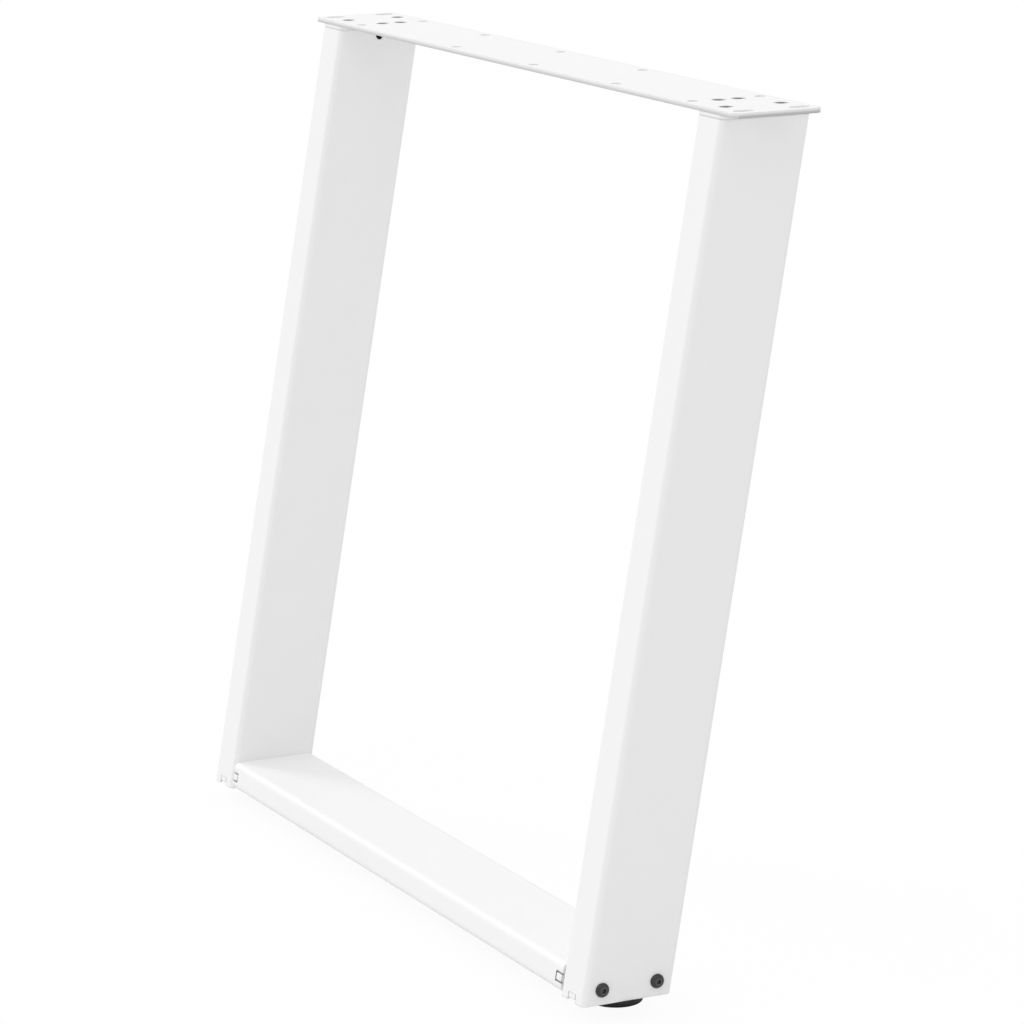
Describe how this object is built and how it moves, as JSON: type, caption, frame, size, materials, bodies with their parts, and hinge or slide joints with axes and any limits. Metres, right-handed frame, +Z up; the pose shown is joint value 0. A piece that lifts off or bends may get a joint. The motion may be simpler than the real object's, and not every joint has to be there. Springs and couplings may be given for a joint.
{
  "type": "table leg",
  "caption": "U-shaped steel table leg frame: a drilled top plate on leaning rectangular uprights, with a bolted bottom bar and levelling feet.",
  "frame": {"origin": "centre of the top plate's upper face, where the table top rests", "axes": "+Z up, +X along the plate, and the feet stand towards -Y"},
  "size_m": [0.8, 0.2061, 0.72],
  "materials": {
    "powder_coat": "satin white powder coat with a fine texture",
    "black_steel": "black oxide steel",
    "black_plastic": "moulded black plastic",
    "zinc_steel": "bright zinc plated"
  },
  "bodies": {
    "frame": {"top_plate": "powder_coat", "bottom_bar": "powder_coat", "upright_left": "powder_coat", "tube_cap_left": "powder_coat", "bar_end_plate_left": "powder_coat", "foot_plate_left": "powder_coat", "foot_nut_left": "zinc_steel", "bolt_left_front": "black_steel", "sleeve_left_front": "zinc_steel", "bolt_left_back": "black_steel", "sleeve_left_back": "zinc_steel", "upright_right": "powder_coat", "tube_cap_right": "powder_coat", "bar_end_plate_right": "powder_coat", "foot_plate_right": "powder_coat", "foot_nut_right": "zinc_steel", "bolt_right_front": "black_steel", "sleeve_right_front": "zinc_steel", "bolt_right_back": "black_steel", "sleeve_right_back": "zinc_steel"},
    "foot_left": {"foot_stud_left": "zinc_steel", "foot_pad_left": "black_plastic"},
    "foot_right": {"foot_stud_right": "zinc_steel", "foot_pad_right": "black_plastic"}
  },
  "joints": [
    {"name": "foot_left_height", "type": "slide", "parent": "frame", "child": "foot_left", "axis": [0, 0, -1], "range_m": [0, 0.012]},
    {"name": "foot_right_height", "type": "slide", "parent": "frame", "child": "foot_right", "axis": [0, 0, -1], "range_m": [0, 0.012]}
  ]
}
